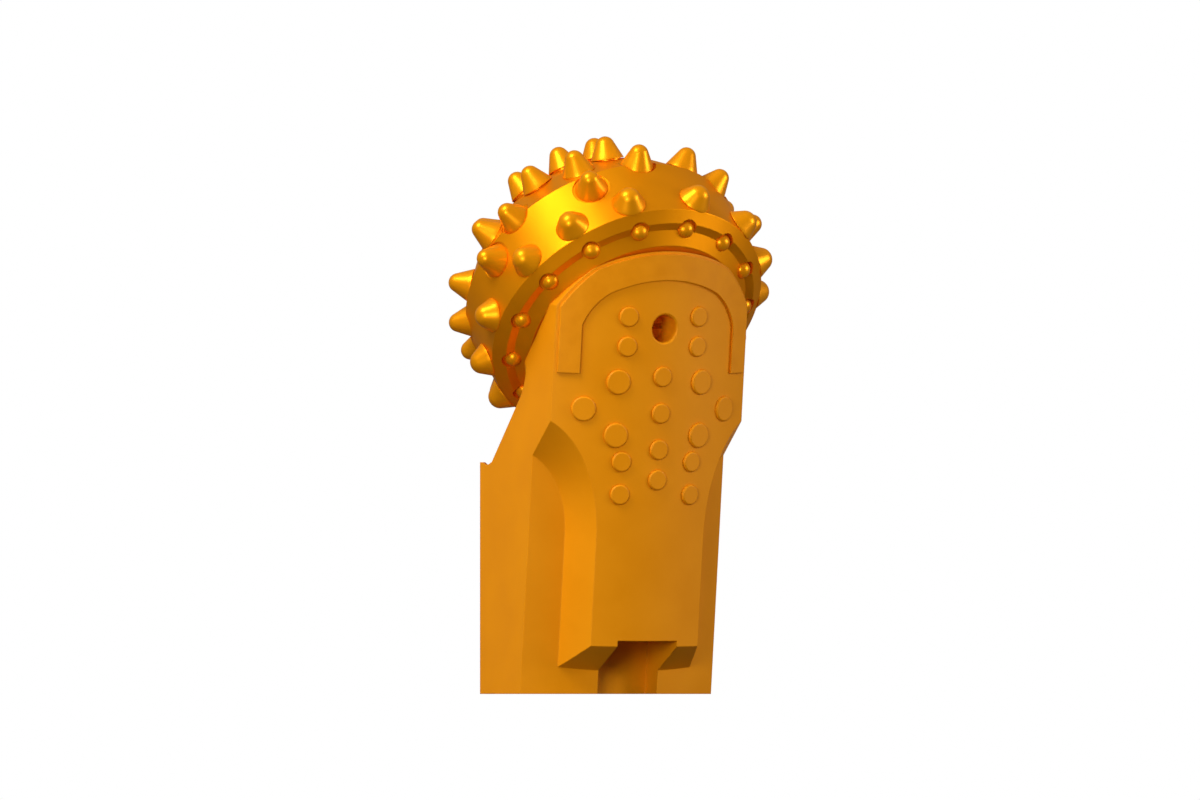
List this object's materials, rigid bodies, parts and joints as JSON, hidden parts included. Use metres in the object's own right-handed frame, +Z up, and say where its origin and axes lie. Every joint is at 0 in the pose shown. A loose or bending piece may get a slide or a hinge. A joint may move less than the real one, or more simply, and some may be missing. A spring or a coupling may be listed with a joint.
{
  "type": "roller cone bit",
  "caption": "Forged drill bit leg with a bearing pin that carries one rolling cutter cone set with blunt carbide inserts, for boring rock.",
  "frame": {"origin": "on the flat foot, on the leg's middle plane, 40 mm in front of the flat back", "axes": "+X across the leg, +Y from its outer wall towards its flat back, +Z up from the foot to the cutter"},
  "size_m": [0.2212, 0.1917, 0.3792],
  "materials": {
    "leg_steel": "golden orange coat on forged alloy steel, satin",
    "cone_steel": "golden orange coat on turned alloy steel, semi-gloss",
    "carbide": "golden orange coat on ground tungsten carbide, semi-gloss",
    "hardfacing": "golden orange coat on ground weld metal, satin",
    "bearing_steel": "ground and polished",
    "bearing_bronze": "turned bronze, bare",
    "seal_rubber": "matt black"
  },
  "bodies": {
    "leg": {"leg": "leg_steel", "hardfacing_band": "hardfacing", "small_wear_buttons": "carbide", "large_wear_buttons": "carbide", "ball_plug": "leg_steel"},
    "cone": {"cone_shell": "cone_steel", "heel_inserts": "carbide", "staggered_inserts": "carbide", "shoulder_inserts": "carbide", "middle_inserts": "carbide", "second_edge_inserts": "carbide", "third_edge_inserts": "carbide", "nose_inserts": "carbide", "nose_tip_insert": "carbide", "gauge_buttons": "carbide", "seal_ring": "seal_rubber", "nose_bushing": "bearing_bronze", "thrust_washer": "bearing_bronze", "thrust_button": "bearing_steel"},
    "roller_set": {"bearing_rollers": "bearing_steel"},
    "ball_set": {"lock_balls": "bearing_steel"}
  },
  "joints": [
    {"name": "cone_spin", "type": "hinge", "parent": "leg", "child": "cone", "pos_m": [0, -0.02963, 0.25557], "axis": [0, 0.7513, 0.66], "continuous": true},
    {"name": "roller_orbit", "type": "hinge", "parent": "leg", "child": "roller_set", "pos_m": [0, -0.02963, 0.25557], "axis": [0, 0.7513, 0.66], "continuous": true},
    {"name": "ball_orbit", "type": "hinge", "parent": "leg", "child": "ball_set", "pos_m": [0, -0.02963, 0.25557], "axis": [0, 0.7513, 0.66], "continuous": true}
  ],
  "couplings": [
    {"joint": "roller_orbit", "follows": "cone_spin", "ratio": 0.56863},
    {"joint": "ball_orbit", "follows": "cone_spin", "ratio": 0.62207}
  ]
}
